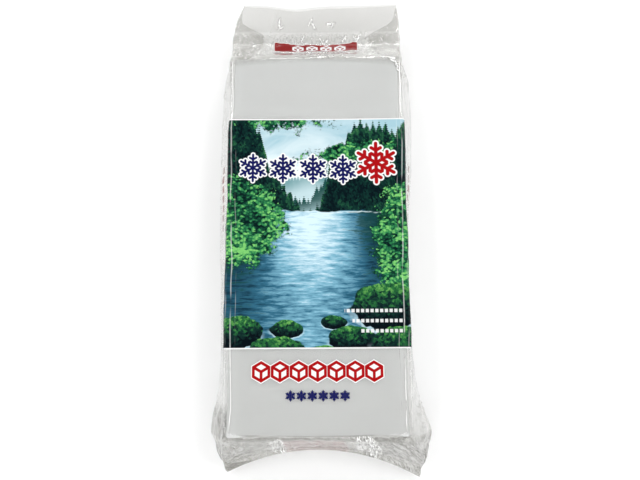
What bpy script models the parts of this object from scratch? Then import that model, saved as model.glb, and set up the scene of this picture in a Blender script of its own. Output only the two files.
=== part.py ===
"""A flat block of ice sealed in a clear side-gusset film bag, lying on its back.

The back panel rests on the plane z = 0. +Z is the printed front panel's side, and +Y runs along the
block from the bag's factory-sealed foot to its open header. The origin is the middle of the flat back
panel under the block. The bag is one body of film: an outer skin, less a lined cavity for the block,
less the slot between the two loose layers of the header, less the air channel that the top weld
leaves. Lengths are metres.
"""

import math
from collections import namedtuple

import bmesh
import bpy
from mathutils import Vector, noise

MM = 0.001

# Driving dimensions
BLOCK_WIDTH = 125.0 * MM
BLOCK_LENGTH = 284.0 * MM
BLOCK_THICKNESS = 53.2 * MM
BLOCK_EDGE_RADIUS = 6.0 * MM
FILM = 0.3 * MM
CLEARANCE = 0.3 * MM

# Worked out from them
LINING = FILM + CLEARANCE
PACK_THICKNESS = BLOCK_THICKNESS + 2 * LINING
BLOCK_END = BLOCK_LENGTH / 2
BLOCK_MIDDLE = Vector((0.0, 0.0, PACK_THICKNESS / 2))
PANEL_HALF = BLOCK_WIDTH / 2 + 2.5 * MM
SHOULDER_SHARE = (BLOCK_WIDTH / 2 - BLOCK_EDGE_RADIUS) / PANEL_HALF

# The block's surface: how deep its faces are eaten back, over what distance, and how they are divided
MELT_DEPTH = 0.5 * MM
MELT_PITCH = 45.0 * MM
BLOCK_CELL = 20.0 * MM
BLOCK_BEVEL_SEGMENTS = 3

# How the film is divided: stops across half a panel, as shares of its half width, steps down half a
# side, and steps from each station to the next
PANEL_STOPS = (0.0, 0.18, 0.36, 0.54, 0.72, 0.87, 0.93, 0.975)
SIDE_STEPS = 4
STATION_STEPS = 3

# Pleats that the welds gather in the film, each wave as its length, phase and share of the depth
PLEAT_DEPTH = 1.1 * MM
PLEAT_WAVES = ((34.0 * MM, 0.4, 0.6), (21.0 * MM, 1.9, 0.4))
PLEAT_SLANT = 0.25
FULL_PLEATS_APART = 0.2

# The wave of the header's free edge, the bow of a gusset's halves, and the top weld's air channel
HEADER_WAVE_HEIGHT = 1.6 * MM
HEADER_WAVE_LENGTH = 62.0 * MM
HEADER_DIP_X = -20.0 * MM
GUSSET_BOW = 0.10
CHANNEL_WIDTH = 2.0 * MM
CHANNEL_HEIGHT = 0.4 * MM
PAST_THE_MOUTH = Vector((0.0, 2.0 * MM, 0.0))

# One cross-section of the film. Each y is a distance in millimetres beyond the block's end, negative on
# the block, and each z is a share of the pack's thickness. "fold" is the line between a panel and its
# gusset, with its x as a share of the panel's half width. "crease" is the gusset's own middle line, which
# stands out past the fold by left_out and right_out millimetres. sway is how far the whole section has
# swung to the right, and turn is how much further its right fold lies from the block than its left.
# shoulder is 1 where the panels are flat with rounded edges and 0 where they belly evenly, and slack is
# the depth of the pleats.
Station = namedtuple(
    "Station",
    "mid_y front_z back_z fold_x fold_y fold_front_z fold_back_z"
    " left_out right_out crease_y crease_z sway turn shoulder slack",
)


def on_block(y, left_out, right_out):
    """A station where the film lies flat on the block, with straight folds."""
    return Station(y, 1.0, 0.0, 1.0, y, 0.93, 0.09, left_out, right_out, y, 0.5, 0.0, 0.0, 1.0, 0.0)


# Up from the foot's weld, which is pulled in at its middle while its corners run out, and along the
# block's foot half, where the film leaves its tight ears for the left gusset's broad bulge
FOOT = (
    Station(5.4, 0.460, 0.446, 1.055, 23.0, 0.095, 0.080, 0.3, 0.3, 23.0, 0.088, 4.4, 4.4, 0.0, 0.2),
    Station(2.6, 0.475, 0.448, 1.055, 19.2, 0.125, 0.080, 0.9, 0.9, 19.2, 0.100, 4.0, 4.0, 0.0, 0.5),
    Station(2.6, 0.620, 0.300, 1.050, 14.2, 0.300, 0.050, 3.8, 4.8, 11.8, 0.170, 2.8, 3.0, 0.15, 1.0),
    Station(2.3, 0.830, 0.130, 1.030, 6.4, 0.620, 0.030, 7.6, 10.6, 1.9, 0.330, 1.3, 1.6, 0.45, 0.8),
    Station(1.2, 0.965, 0.022, 1.008, 0.3, 0.880, 0.036, 10.2, 14.2, -7.2, 0.455, 0.2, 0.5, 0.80, 0.3),
    Station(-4.0, 1.000, 0.000, 1.000, -9.0, 0.925, 0.060, 9.4, 11.4, -17.0, 0.480, 0.0, 0.0, 1.0, 0.0),
    Station(-30.0, 1.000, 0.000, 1.000, -30.0, 0.930, 0.085, 6.2, 6.8, -32.0, 0.490, 0.0, 0.0, 1.0, 0.0),
    on_block(-62.0, 4.6, 3.2),
    on_block(-142.0, 6.4, 2.6),
)
# Along the block's top half, and on to the top weld, where the panels slope to meet at half height
TOP = (
    on_block(-76.0, 7.8, 7.0),
    on_block(-30.0, 7.4, 7.8),
    Station(-5.0, 1.000, 0.000, 1.000, -7.0, 0.925, 0.085, 6.4, 7.2, -8.0, 0.500, 0.0, 0.0, 1.0, 0.0),
    Station(1.6, 0.975, 0.025, 1.002, 1.0, 0.900, 0.085, 5.4, 5.4, 4.0, 0.500, 0.2, 0.0, 0.85, 0.3),
    Station(6.5, 0.850, 0.160, 1.006, 7.5, 0.790, 0.190, 4.0, 3.6, 11.0, 0.500, 0.3, 0.0, 0.5, 0.7),
    Station(12.0, 0.680, 0.320, 1.015, 13.5, 0.645, 0.340, 2.4, 1.9, 15.5, 0.500, 0.3, 0.0, 0.2, 1.0),
    Station(18.0, 0.560, 0.430, 1.025, 19.5, 0.550, 0.440, 0.9, 0.8, 20.0, 0.498, 0.3, 0.0, 0.0, 1.0),
    Station(25.0, 0.508, 0.484, 1.029, 26.0, 0.506, 0.488, 0.4, 0.4, 26.0, 0.497, 0.3, 0.0, 0.0, 0.5),
)
# Past the top weld: two loose layers, narrowing and parting a little towards the mouth
HEADER = (
    Station(31.0, 0.508, 0.484, 1.020, 32.0, 0.506, 0.488, 0.3, 0.3, 32.0, 0.497, 0.6, 0.0, 0.0, 0.3),
    Station(44.0, 0.530, 0.488, 0.998, 45.5, 0.520, 0.494, 0.3, 0.3, 45.5, 0.507, 1.6, 0.0, 0.0, 0.3),
    Station(56.0, 0.565, 0.500, 0.936, 59.0, 0.555, 0.515, 0.4, 0.4, 59.0, 0.535, 3.6, 0.0, 0.0, 0.3),
)


def clear_scene():
    for obj in list(bpy.data.objects):
        bpy.data.objects.remove(obj)


def in_metres(station, end):
    """A station in metres, its y measured from the middle of the block towards the end it belongs to."""
    along = {
        name: end * (BLOCK_END + getattr(station, name) * MM)
        for name in ("mid_y", "fold_y", "crease_y")
    }
    heights = {
        name: getattr(station, name) * PACK_THICKNESS
        for name in ("front_z", "back_z", "fold_front_z", "fold_back_z", "crease_z")
    }
    sideways = {name: getattr(station, name) * MM for name in ("left_out", "right_out", "sway")}
    fold_x, turn = station.fold_x * PANEL_HALF, end * station.turn * MM
    return station._replace(**along, **heights, **sideways, fold_x=fold_x, turn=turn)


def stations_along_y():
    """The stations from foot to mouth, in metres."""
    return [in_metres(s, -1.0) for s in FOOT] + [in_metres(s, 1.0) for s in TOP + HEADER]


def hermite(values, index, share):
    """A curve through values that never overshoots them, share of the way past values[index]."""

    def slope(i):
        if i == 0 or i == len(values) - 1:
            return 0.0
        before, after = values[i] - values[i - 1], values[i + 1] - values[i]
        if before * after <= 0:
            return 0.0
        return 2 * before * after / (before + after)

    start, end = values[index], values[index + 1]
    a, b = slope(index), slope(index + 1)
    s2, s3 = share**2, share**3
    return (
        (2 * s3 - 3 * s2 + 1) * start
        + (s3 - 2 * s2 + share) * a
        + (3 * s2 - 2 * s3) * end
        + (s3 - s2) * b
    )


def section_between(stations, index, share):
    """The section share of the way from one station to the next."""
    columns = [[getattr(station, name) for station in stations] for name in Station._fields]
    return Station(*(hermite(values, index, share) for values in columns))


def sections():
    """Every cross-section of the film from foot to mouth: the stations, and the steps between them."""
    stations = stations_along_y()
    shares = [step / STATION_STEPS for step in range(STATION_STEPS)]
    spans = range(len(stations) - 1)
    return [section_between(stations, i, share) for i in spans for share in shares] + [stations[-1]]


def panel_drop(across, shoulder):
    """How far a panel has fallen from its middle to its fold, 0 to 1, across 0 to 1 from the middle."""
    start = SHOULDER_SHARE * shoulder
    past = max(0.0, (across - start) / (1 - start))
    rounded = 1 - math.sqrt(1 - past**2)
    return shoulder * rounded + (1 - shoulder) * past**2


def pleats(x, y):
    """The height of the pleats at a point, -1 to 1."""
    along = 2 * math.pi * (x + PLEAT_SLANT * y)
    return sum(share * math.sin(along / length + phase) for length, phase, share in PLEAT_WAVES)


def header_lift(section):
    """0 at the top weld, rising to 1 at the mouth."""
    weld_end = BLOCK_END + HEADER[0].mid_y * MM
    mouth = BLOCK_END + HEADER[-1].mid_y * MM
    return min(1.0, max(0.0, (section.mid_y - weld_end) / (mouth - weld_end)))


def loose(point, section, outward):
    """A point of the film with its section's sway and turn, its pleats and, in the header, its wave."""
    x, y, z = point
    y += section.turn / 2 * x / section.fold_x
    lift = header_lift(section)
    wave = -HEADER_WAVE_HEIGHT * math.cos(2 * math.pi * (x - HEADER_DIP_X) / HEADER_WAVE_LENGTH)
    height = PLEAT_DEPTH * section.slack * pleats(x, y) * outward
    return Vector((x + section.sway, y + lift * wave, z + height + lift * wave))


def panel_point(section, across, side, front):
    """A point of the front or back panel, across 0 to 1 from its middle to the fold on that side.

    Where the panels are apart their pleats stand outwards, and where they are welded they run together.
    """
    middle_z = section.front_z if front else section.back_z
    fold_z = section.fold_front_z if front else section.fold_back_z
    x = side * across * section.fold_x
    y = section.mid_y + (section.fold_y - section.mid_y) * across**2
    z = middle_z + (fold_z - middle_z) * panel_drop(across, section.shoulder)
    between = section.front_z - section.back_z
    apart = min(1.0, between / (FULL_PLEATS_APART * PACK_THICKNESS))
    outward = (1.0 if front else -1.0) * apart + (1.0 - apart)
    return loose((x, y, z), section, outward * (1 - across**4))


def side_point(section, share, side):
    """A point of a gusset, share 0 to 1 from the front fold over the crease to the back fold."""
    stand_off = section.right_out if side > 0 else section.left_out
    fold_z = section.fold_front_z if share < 0.5 else section.fold_back_z
    fold = Vector((section.fold_x, section.fold_y, fold_z))
    crease = Vector((section.fold_x + stand_off, section.crease_y, section.crease_z))
    near = abs(share - 0.5) * 2
    place = crease.lerp(fold, near)
    place.x = side * (place.x + GUSSET_BOW * stand_off * math.sin(math.pi * near))
    return loose(place, section, 0.0)


def ring(section):
    """The points round one section, from the left crease over the front panel and back under the pack."""
    halves = [-stop for stop in reversed(PANEL_STOPS[1:])] + list(PANEL_STOPS)
    front = [panel_point(section, abs(a), math.copysign(1, a), True) for a in halves]
    back = [panel_point(section, abs(a), math.copysign(1, a), False) for a in reversed(halves)]
    steps = [step / (2 * SIDE_STEPS) for step in range(2 * SIDE_STEPS + 1)]
    right = [side_point(section, share, 1.0) for share in steps]
    left = [side_point(section, share, -1.0) for share in reversed(steps)]
    return left[SIDE_STEPS:] + front + right + back + left[:SIDE_STEPS]


def close_end(shape, row, flip):
    """Closes a ring with strips from its upper half straight down to its lower half."""
    half = len(row) // 2
    for i in range(half):
        corners = [row[i], row[i + 1], row[-i - 1], row[-i]]
        if i == 0:
            corners = [row[0], row[1], row[-1]]
        elif i == half - 1:
            corners = [row[i], row[half], row[-i]]
        shape.faces.new(corners if flip else corners[::-1])


def loft(name, rings):
    """A closed mesh through rings of equal count, each starting at its left end and going over the top."""
    shape = bmesh.new()
    rows = [[shape.verts.new(point) for point in points] for points in rings]
    for lower, upper in zip(rows, rows[1:]):
        for i in range(len(lower)):
            shape.faces.new((lower[i - 1], lower[i], upper[i], upper[i - 1]))
    close_end(shape, rows[0], False)
    close_end(shape, rows[-1], True)
    bmesh.ops.recalc_face_normals(shape, faces=shape.faces)
    mesh = bpy.data.meshes.new(name)
    shape.to_mesh(mesh)
    shape.free()
    return mesh


def lined(mesh, rings, first, last):
    """The rings first to last moved one film's thickness inwards from the skin that they lie on."""
    shape = bmesh.new()
    shape.from_mesh(mesh)
    shape.normal_update()
    shape.verts.ensure_lookup_table()
    count = len(rings[0])
    moved = []
    for row in range(first, last + 1):
        verts = shape.verts[row * count : (row + 1) * count]
        moved.append([v.co - v.normal * FILM * v.calc_shell_factor() for v in verts])
    shape.free()
    return moved


def material(name, colour, roughness, transmission=0.0, ior=1.5, alpha=1.0):
    made = bpy.data.materials.new(name)
    made.use_nodes = True
    shader = made.node_tree.nodes["Principled BSDF"]
    shader.inputs["Base Color"].default_value = (*colour, 1.0)
    shader.inputs["Roughness"].default_value = roughness
    shader.inputs["Metallic"].default_value = 0.0
    shader.inputs["Transmission Weight"].default_value = transmission
    shader.inputs["IOR"].default_value = ior
    shader.inputs["Alpha"].default_value = alpha
    return made


def add_object(name, mesh, collection):
    obj = bpy.data.objects.new(name, mesh)
    collection.objects.link(obj)
    return obj


def melted(place):
    """How deep melting has eaten into the block at a point, in metres."""
    return MELT_DEPTH * (0.5 + 0.5 * noise.noise(place / MELT_PITCH))


def divide(shape, size):
    """Cuts straight across a box of this size, along each axis in turn, so that its faces can be moved."""
    for axis in range(3):
        cuts = int(size[axis] / BLOCK_CELL)
        normal = Vector()
        normal[axis] = 1.0
        for cut_number in range(1, cuts):
            place = normal * size[axis] * (cut_number / cuts - 0.5)
            geometry = shape.verts[:] + shape.edges[:] + shape.faces[:]
            bmesh.ops.bisect_plane(shape, geom=geometry, dist=1e-6, plane_co=place, plane_no=normal)


def build_block(collection):
    """The ice: a rounded box whose faces are eaten back a little unevenly, but for the one it lies on."""
    size = Vector((BLOCK_WIDTH, BLOCK_LENGTH, BLOCK_THICKNESS))
    shape = bmesh.new()
    bmesh.ops.create_cube(shape, size=1.0)
    bmesh.ops.scale(shape, vec=size, verts=shape.verts)
    bmesh.ops.bevel(
        shape,
        geom=shape.edges[:],
        offset=BLOCK_EDGE_RADIUS,
        segments=BLOCK_BEVEL_SEGMENTS,
        profile=0.5,
        affect="EDGES",
        material=-1,
    )
    divide(shape, size)
    shape.normal_update()
    for vert in shape.verts:
        if vert.normal.z > -0.99:
            vert.co -= vert.normal * melted(vert.co)
    bmesh.ops.translate(shape, vec=BLOCK_MIDDLE, verts=shape.verts)
    mesh = bpy.data.meshes.new("ice_block")
    shape.to_mesh(mesh)
    shape.free()
    mesh.shade_smooth()
    mesh.materials.append(material("ice", (0.86, 0.90, 0.92), 0.3, transmission=1.0, ior=1.31))
    add_object("ice_block", mesh, collection)


def cut(obj, cutter):
    modifier = obj.modifiers.new(cutter.name, "BOOLEAN")
    modifier.operation = "DIFFERENCE"
    modifier.solver = "EXACT"
    modifier.object = cutter
    cutter.hide_render = True
    cutter.display_type = "WIRE"


def air_channel(found):
    """Rings of the gap that the top weld leaves between its layers, through which the air was let out."""
    half = Vector((CHANNEL_WIDTH / 2, 0.0, CHANNEL_HEIGHT / 2))
    rings = []
    for section in found:
        middle = (panel_point(section, 0.0, 1.0, True) + panel_point(section, 0.0, 1.0, False)) / 2
        corners = ((-1, 0, 1), (1, 0, 1), (1, 0, -1), (-1, 0, -1))
        rings.append([middle + half * Vector(corner) for corner in corners])
    return rings


def build_bag(collection, cutters):
    """The film bag: its outer skin, less the cavity, the header's slot and the weld's air channel."""
    found = sections()
    rings = [ring(section) for section in found]
    skin = loft("film_bag", rings)
    bag = add_object("film_bag", skin, collection)
    bag.data.materials.append(material("clear_film", (0.93, 0.94, 0.94), 0.12, alpha=0.35))

    cavity_start = STATION_STEPS + 1
    cavity_end = STATION_STEPS * (len(FOOT) + len(TOP) - 1) - 1
    slot_start = STATION_STEPS * (len(FOOT) + len(TOP))
    cavity = loft("cavity", lined(skin, rings, cavity_start, cavity_end))
    cut(bag, add_object("cavity", cavity, cutters))

    slot_rings = lined(skin, rings, slot_start, len(rings) - 1)
    slot_rings.append([point + PAST_THE_MOUTH for point in slot_rings[-1]])
    cut(bag, add_object("header_slot", loft("header_slot", slot_rings), cutters))

    channel = loft("air_channel", air_channel(found[cavity_end - 1 : slot_start + 2]))
    cut(bag, add_object("air_channel", channel, cutters))


def main():
    clear_scene()
    pack = bpy.data.collections.new("bagged_ice_block")
    cutters = bpy.data.collections.new("cutters")
    bpy.context.scene.collection.children.link(pack)
    bpy.context.scene.collection.children.link(cutters)
    build_block(pack)
    build_bag(pack, cutters)


main()
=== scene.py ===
"""A flat block of ice sealed in a clear printed film bag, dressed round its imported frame.

Lengths are metres, or millimetres where a comment says so. The pack lies on its back: +Z is the printed
front, and +Y runs from the bag's welded foot to its open header.
"""

import math
from collections import namedtuple
from functools import partialmethod

import bmesh
import bpy
import numpy as np
from mathutils import Matrix, Vector, noise


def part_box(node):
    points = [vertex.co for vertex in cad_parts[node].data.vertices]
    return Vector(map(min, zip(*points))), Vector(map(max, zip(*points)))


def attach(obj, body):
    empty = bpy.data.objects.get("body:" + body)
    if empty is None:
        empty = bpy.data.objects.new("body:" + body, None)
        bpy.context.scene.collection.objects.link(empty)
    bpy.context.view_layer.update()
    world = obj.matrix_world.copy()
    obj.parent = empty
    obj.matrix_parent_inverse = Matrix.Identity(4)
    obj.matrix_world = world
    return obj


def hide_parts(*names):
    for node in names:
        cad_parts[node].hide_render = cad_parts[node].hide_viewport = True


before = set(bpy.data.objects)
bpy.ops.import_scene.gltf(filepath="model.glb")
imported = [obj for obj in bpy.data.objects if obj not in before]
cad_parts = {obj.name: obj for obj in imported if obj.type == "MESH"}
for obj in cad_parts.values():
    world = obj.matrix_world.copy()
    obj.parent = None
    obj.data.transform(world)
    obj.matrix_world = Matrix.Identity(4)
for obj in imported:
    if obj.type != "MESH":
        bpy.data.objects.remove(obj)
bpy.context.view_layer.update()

MM = 0.001

# The block and the bag's film as the frame has them
BLOCK_LOW, BLOCK_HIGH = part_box("ice_block")
LINING = 0.6 * MM
BLOCK_END = 142.0 * MM
PACK_THICKNESS = BLOCK_HIGH.z + LINING
PANEL_HALF = 65.0 * MM
SHOULDER_SHARE = 63.0 / 65.0
FILM_THICKNESS = 0.06 * MM

# The block's surface: how far the frame's melting has set it back at its highest, how deep it is eaten,
# over what distance, and how finely its faces are divided
BLOCK_MELTED_BACK = 0.07 * MM
MELT_DEPTH = 0.5 * MM
MELT_PITCH = 45.0 * MM
FINE_MELT_DEPTH = 0.15 * MM
FINE_MELT_PITCH = 9.0 * MM
BLOCK_CELL = 5.0 * MM
BLOCK_EDGE_ROUND = 1.5 * MM

# How the ice and the film look
ICE_COLOUR = (0.97, 0.98, 0.975, 1.0)
ICE_IOR = 1.31
ICE_ROUGHNESS = (0.24, 0.262)
ICE_CLEARNESS = 0.52
ICE_TINT = (0.86, 0.93, 0.95, 1.0)
ICE_DENSITY = 0.9
FILM_TINT = (0.982, 0.982, 0.978, 1.0)
# Grey laid over the clear film as painted shade, and a deeper grey where the painted shade is darkest; the
# first also colours the film's faint haze. Then the white of creases that have turned white, which also
# paints glints and highlights
FILM_SHADE = (0.375, 0.37, 0.335)
FILM_DEEP_SHADE = (0.15, 0.146, 0.128)
FILM_WHITENED_AND_GLINT = (0.95, 0.95, 0.95)
FILM_HAZE = 0.015
FILM_IOR = 1.5
FILM_ROUGHNESS = 0.11
DULL_FILM_ROUGHNESS = 0.32
MIRROR_OVER_INK = (0.3, 0.3, 0.3)
FILM_FACES = 1.35

# Where the camera stands and looks, in metres, with its roll in degrees and its focal length in pixels
CAMERA_PLACE = (2.2 * MM, -181.7 * MM, 678.0 * MM)
CAMERA_FORWARD = (0.0, 0.2754, -0.9613)
CAMERA_UP = (0.0, 0.9613, 0.2754)
CAMERA_ROLL = -0.36
FOCAL_PIXELS = 903.0


# ------------------------------
# The film's lie: cross-sections from the welded foot to the open mouth, as shares and millimetres

Station = namedtuple(
    "Station",
    "rows mid_y front_z back_z fold_x fold_y fold_front_z fold_back_z"
    " left_out right_out crease_y crease_z sway turn shoulder",
)


def on_block(rows, y, left_out, right_out):
    """A station where the film lies flat on the block, with straight folds."""
    return Station(rows, y, 1.0, 0.0, 1.0, y, 0.957, 0.07, left_out, right_out, y, 0.5, 0.0, 0.0, 1.0)


FOOT = (
    Station(4, 6.6, 0.4545, 0.4515, 1.068, 23, 0.0895, 0.0865, -23, -23, 23, 0.088, 3.6, 4.4, 0),
    Station(9, 5, 0.463, 0.451, 1.09, 19.6, 0.108, 0.088, -9, -8, 19, 0.1, 3, 4, 0),
    Station(12, 4.2, 0.62, 0.3, 1.088, 14.4, 0.3, 0.05, 1.4, 3.6, 13, 0.17, 2.6, 3, 0.15),
    Station(10, 2.9, 0.83, 0.13, 1.046, 6.4, 0.62, 0.03, 6.2, 9.6, 1.9, 0.33, 1.3, 1.6, 0.45),
    Station(8, 1.2, 0.972, 0.022, 1.008, 0.3, 0.88, 0.036, 10.2, 14.2, -7.2, 0.455, 0.2, 0.5, 0.8),
    Station(14, -2.4, 1, 0, 1, -9, 0.95, 0.06, 9.4, 11.4, -17, 0.48, 0, 0, 1),
    Station(13, -30, 1, 0, 1, -30, 0.957, 0.07, 6.2, 6.8, -32, 0.49, 0, 0, 1),
    on_block(27, -62, 4.6, 3.2),
    on_block(22, -142, 6.4, 2.6),
)
TOP = (
    on_block(16, -76, 7.8, 7),
    on_block(14, -30, 7.4, 7.8),
    Station(6, -3.4, 1, 0, 1, -7, 0.95, 0.075, 5.4, 6.2, -7, 0.5, 0, 0, 1),
    Station(8, 1.6, 0.975, 0.025, 1.002, 1, 0.9, 0.085, 2.4, 2.8, 3, 0.5, 0.2, 0, 0.85),
    Station(10, 6.5, 0.85, 0.16, 1.006, 7.5, 0.79, 0.19, -4, -3.4, 8.5, 0.5, 0.3, 0, 0.5),
    Station(9, 12, 0.68, 0.32, 1.015, 13.5, 0.645, 0.34, -12, -11, 14, 0.5, 0.3, 0, 0.2),
    Station(9, 19, 0.56, 0.43, 1.025, 20.5, 0.55, 0.44, -20, -20, 21, 0.498, 0.3, 0, 0),
    Station(6, 27, 0.502, 0.49, 1.029, 28, 0.501, 0.491, -25, -25.5, 28, 0.496, 0.3, 0, 0),
)
HEADER = (
    Station(11, 33, 0.502, 0.49, 1.02, 34, 0.501, 0.491, -24, -24.5, 34, 0.496, 0.6, 0, 0),
    Station(11, 44, 0.53, 0.488, 0.998, 45.5, 0.52, 0.494, -4, -6, 45.5, 0.507, 1.6, 0, 0),
    Station(1, 57.4, 0.565, 0.5, 0.936, 59, 0.553, 0.517, 0.2, 0.2, 59, 0.535, 3.6, 0, 0),
)
STATIONS = FOOT + TOP + HEADER
MOUTH = len(STATIONS) - 1

HEADER_DIP = 1.6 * MM
HEADER_DIP_X = -20.0 * MM
HEADER_DIP_WIDTH = 15.0 * MM
GUSSET_BOW = 0.1

# How many faces there are round the film: across the front, across half a gusset, and across the back
FRONT_COLUMNS = 96
GUSSET_COLUMNS = 16
BACK_COLUMNS = 56

# The flat tube in millimetres: half a panel, half a gusset and all the way round, then what lies where
# round it from the left crease
HALF_PANEL = 66.0
HALF_GUSSET = 25.0
ROUND_FILM = 4 * (HALF_PANEL + HALF_GUSSET)
LEFT_FOLD, RIGHT_FOLD = HALF_GUSSET, HALF_GUSSET + 2 * HALF_PANEL
FRONT_MIDDLE, RIGHT_CREASE, BACK_MIDDLE = ROUND_FILM / 4, ROUND_FILM / 2, ROUND_FILM * 3 / 4
PANEL_FLAT, GUSSET_FLAT = HALF_PANEL * MM, HALF_GUSSET * MM

# Along the film in millimetres from the block's middle: both welds, and where the pouches end at them
TOP_WELD, FOOT_WELD = 182.4, -172.0
TOP_POUCH_END, FOOT_POUCH_END = 177.0, -168.0


def hermite(values, at):
    """A smooth curve through values that never overshoots them, read at fractional indices."""
    values = np.asarray(values, float)
    rises = np.diff(values)
    before, after = rises[:-1], rises[1:]
    same_way = before * after > 0
    slopes = np.zeros(len(values))
    slopes[1:-1] = np.where(same_way, 2 * before * after / np.where(same_way, before + after, 1.0), 0.0)
    index = np.clip(np.floor(at).astype(int), 0, len(values) - 2)
    share = at - index
    s2, s3 = share**2, share**3
    return (
        (2 * s3 - 3 * s2 + 1) * values[index]
        + (s3 - 2 * s2 + share) * slopes[index]
        + (3 * s2 - 2 * s3) * values[index + 1]
        + (s3 - s2) * slopes[index + 1]
    )


def film_rows():
    """Where each row of the film lies among the stations, as a fractional index."""
    steps = [i + k / station.rows for i, station in enumerate(STATIONS[:-1]) for k in range(station.rows)]
    return np.array(steps + [MOUTH], float)


def film_profile(at):
    """Every station's column read at the fractional indices, in metres, as a dict of arrays."""
    ends = np.array([-1.0] * len(FOOT) + [1.0] * (len(TOP) + len(HEADER)))
    read = {}
    for name in Station._fields[1:]:
        values = np.array([getattr(station, name) for station in STATIONS])
        if name in ("mid_y", "fold_y", "crease_y"):
            values = ends * (BLOCK_END + values * MM)
        elif name in ("front_z", "back_z", "fold_front_z", "fold_back_z", "crease_z"):
            values = values * PACK_THICKNESS
        elif name == "fold_x":
            values = values * PANEL_HALF
        elif name in ("left_out", "right_out", "sway"):
            values = values * MM
        elif name == "turn":
            values = ends * values * MM
        read[name] = hermite(values, at)
    return read


def panel_drop(across, shoulder):
    """How far a panel has fallen from its middle to its fold, 0 to 1, across 0 to 1 from the middle."""
    start = SHOULDER_SHARE * shoulder
    past = np.clip((across - start) / (1 - start), 0.0, 1.0)
    return shoulder * (1 - np.sqrt(1 - past**2)) + (1 - shoulder) * past**2


def crowded(count, power):
    """count + 1 stops from -1 to 1 that crowd together towards both ends."""
    even = np.linspace(-1.0, 1.0, count + 1)
    return np.sign(even) * (1 - (1 - np.abs(even)) ** power)


def panel(profile, across, front):
    """Points of the front or back panel, across -1 at its left fold to 1 at its right one."""
    middle_z = profile["front_z" if front else "back_z"][:, None]
    fold_z = profile["fold_front_z" if front else "fold_back_z"][:, None]
    mid_y, fold_y = profile["mid_y"][:, None], profile["fold_y"][:, None]
    away = np.abs(across)
    x = profile["fold_x"][:, None] * across
    y = mid_y + (fold_y - mid_y) * away**2
    z = middle_z + (fold_z - middle_z) * panel_drop(away, profile["shoulder"][:, None])
    return np.stack(np.broadcast_arrays(x, y, z), axis=-1)


def half_gusset(profile, shares, side, front):
    """Points of half a gusset, share 0 at its fold to 1 at its crease.

    It stands out past the folds, or where it is tucked in it follows the panel, half way to the other one.
    """
    out = profile["right_out" if side > 0 else "left_out"][:, None]
    fold_z = profile["fold_front_z" if front else "fold_back_z"][:, None]
    fold_x, fold_y = profile["fold_x"][:, None], profile["fold_y"][:, None]
    crease_y, crease_z = profile["crease_y"][:, None], profile["crease_z"][:, None]
    share = shares[None, :]
    bow = GUSSET_BOW * np.maximum(out, 0.0) * np.sin(np.pi * share)
    x = side * (fold_x + out * share + bow)
    y = fold_y + (crease_y - fold_y) * share
    z = fold_z + (crease_z - fold_z) * share
    standing = np.stack(np.broadcast_arrays(x, y, z), axis=-1)

    across = side * np.clip(1 + np.minimum(out, 0.0) * share / fold_x, 0.0, 1.0)
    near, far = panel(profile, across, front), panel(profile, across, not front)
    tucked = near + (far - near) * share[:, :, None] / 2
    tuck = step_up(-out, 0.0, 3.0 * MM)[:, :, None]
    return standing * (1 - tuck) + tucked * tuck


def film_points(profile):
    """The film's points before it wrinkles, and how far round the flat tube each column lies.

    The columns run from the left crease over the front, down the right gusset and back under the pack.
    """
    front = crowded(FRONT_COLUMNS, 1.35)[None, :]
    back = crowded(BACK_COLUMNS, 1.2)[None, ::-1]
    half = (crowded(GUSSET_COLUMNS, 1.25) + 1) / 2
    parts = (
        (half_gusset(profile, half[::-1], -1.0, True), GUSSET_FLAT * (1 - half[::-1])),
        (panel(profile, front, True)[:, 1:], PANEL_FLAT * (1 + front[0, 1:])),
        (half_gusset(profile, half, 1.0, True)[:, 1:], GUSSET_FLAT * half[1:]),
        (half_gusset(profile, half[::-1], 1.0, False)[:, 1:], GUSSET_FLAT * (1 - half[::-1][1:])),
        (panel(profile, back, False)[:, 1:], PANEL_FLAT * (1 - back[0, 1:])),
        (half_gusset(profile, half, -1.0, False)[:, 1:], GUSSET_FLAT * half[1:]),
    )
    points = np.concatenate([part for part, _ in parts], axis=1)
    starts = GUSSET_FLAT * np.array([0, 1, 1, 2, 3, 3]) + PANEL_FLAT * np.array([0, 0, 2, 2, 2, 4])
    round_film = np.concatenate([start + flat for start, (_, flat) in zip(starts, parts)])
    turned = profile["turn"][:, None] / 2 * points[:, :, 0] / profile["fold_x"][:, None]
    points[:, :, 0] += profile["sway"][:, None]
    points[:, :, 1] += turned
    return points, round_film


# ------------------------------
# Wrinkles

def step_up(values, low, high):
    """0 below low, rising smoothly to 1 above high."""
    share = np.clip((values - low) / (high - low), 0.0, 1.0)
    return share * share * (3 - 2 * share)


def soft_noise(x, y, seed):
    """Smooth noise from -1 to 1 over the plane, about one bump to a unit."""
    table = np.random.default_rng(seed).uniform(-1.0, 1.0, (64, 64))
    i, j = np.floor(x).astype(int), np.floor(y).astype(int)
    u, v = x - i, y - j
    u, v = u * u * (3 - 2 * u), v * v * (3 - 2 * v)
    low = table[i % 64, j % 64] * (1 - u) + table[(i + 1) % 64, j % 64] * u
    high = table[i % 64, (j + 1) % 64] * (1 - u) + table[(i + 1) % 64, (j + 1) % 64] * u
    return low * (1 - v) + high * v


def sharp_noise(x, y, seed):
    """Noise from -1 to 1 with straight flanks and sharp ridges, as crumpled film has."""
    return 1 - 2 * np.abs(soft_noise(x, y, seed)) ** 0.8


Creases = namedtuple("Creases", "count s t angle spread length width height")


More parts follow.
